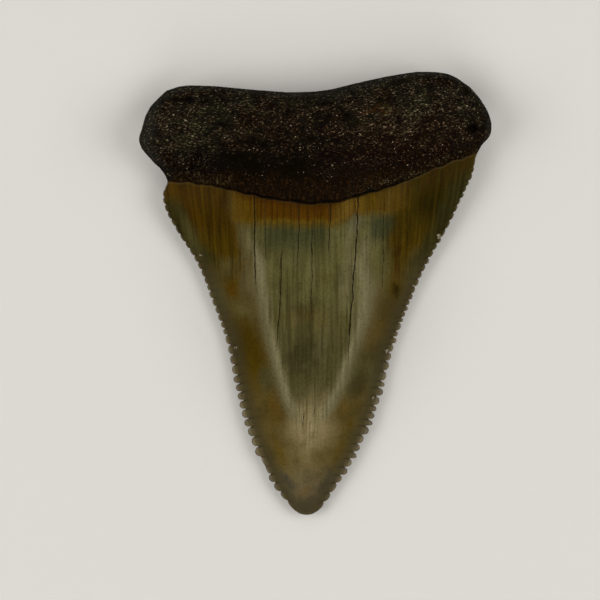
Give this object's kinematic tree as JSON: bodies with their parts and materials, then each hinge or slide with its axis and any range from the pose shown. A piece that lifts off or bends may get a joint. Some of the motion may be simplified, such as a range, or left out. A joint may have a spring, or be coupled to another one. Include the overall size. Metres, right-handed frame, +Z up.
{
  "type": "fossil shark tooth",
  "caption": "Fossil great white shark tooth lying on its flat outer face, with a triangular serrated enamel crown and a thick dark lobed root.",
  "frame": {"origin": "on the plane the tooth lies on, under the middle of its bounding box", "axes": "+Z up, out of the bulging inner face; +Y from the tip towards the root; +X to the right as seen from above with the root at the top"},
  "size_m": [0.0386, 0.0487, 0.0099],
  "materials": {
    "fossil_tooth": "satin"
  },
  "bodies": {
    "root": {"shark_tooth": "fossil_tooth"}
  },
  "joints": []
}
